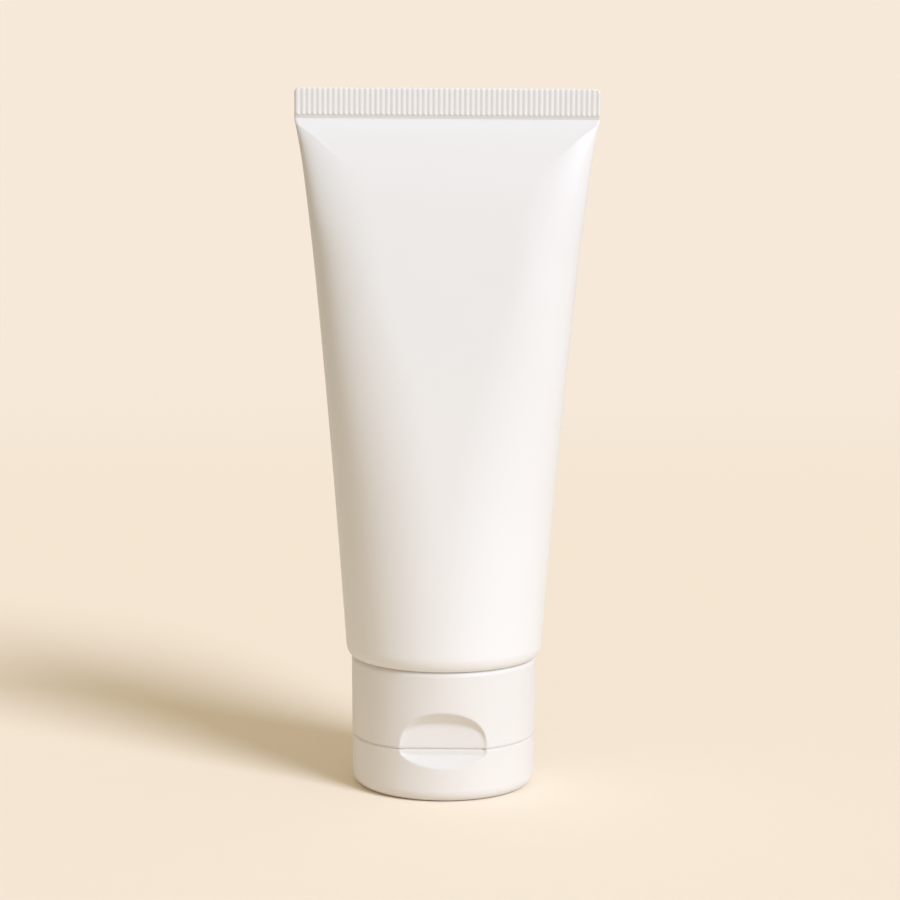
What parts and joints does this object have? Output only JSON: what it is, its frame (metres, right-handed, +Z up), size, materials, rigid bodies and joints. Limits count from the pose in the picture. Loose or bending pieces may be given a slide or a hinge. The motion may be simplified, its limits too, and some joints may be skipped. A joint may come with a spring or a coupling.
{
  "type": "shaving cream tube",
  "caption": "Soft plastic squeeze tube standing upside down on a flip-top cap, with a ribbed end seal, thumb recess and living hinge.",
  "frame": {"origin": "centre of the lid's flat face on which the tube stands", "axes": "+Z up from the cap to the end seal, +X along the flat end seal, -Y towards the thumb recess, +Y towards the cap's hinge"},
  "size_m": [0.0612, 0.04, 0.1416],
  "materials": {
    "sleeve_film": "soft satin extruded polyethylene",
    "shoulder_plastic": "moulded polyethylene",
    "cap_plastic": "satin moulded polypropylene",
    "cream": "soft white cream"
  },
  "bodies": {
    "tube": {"tube_sleeve": "sleeve_film", "tube_shoulder": "shoulder_plastic", "cap_base": "cap_plastic", "hinge_web": "cap_plastic", "spring_straps": "cap_plastic", "shaving_cream": "cream"},
    "lid": {"cap_lid": "cap_plastic"}
  },
  "joints": [
    {"name": "lid_hinge", "type": "hinge", "parent": "tube", "child": "lid", "pos_m": [0, 0.01901, 0.0105], "axis": [1, 0, 0], "range_deg": [0, 170], "deforming": ["hinge_web", "spring_straps"]}
  ]
}
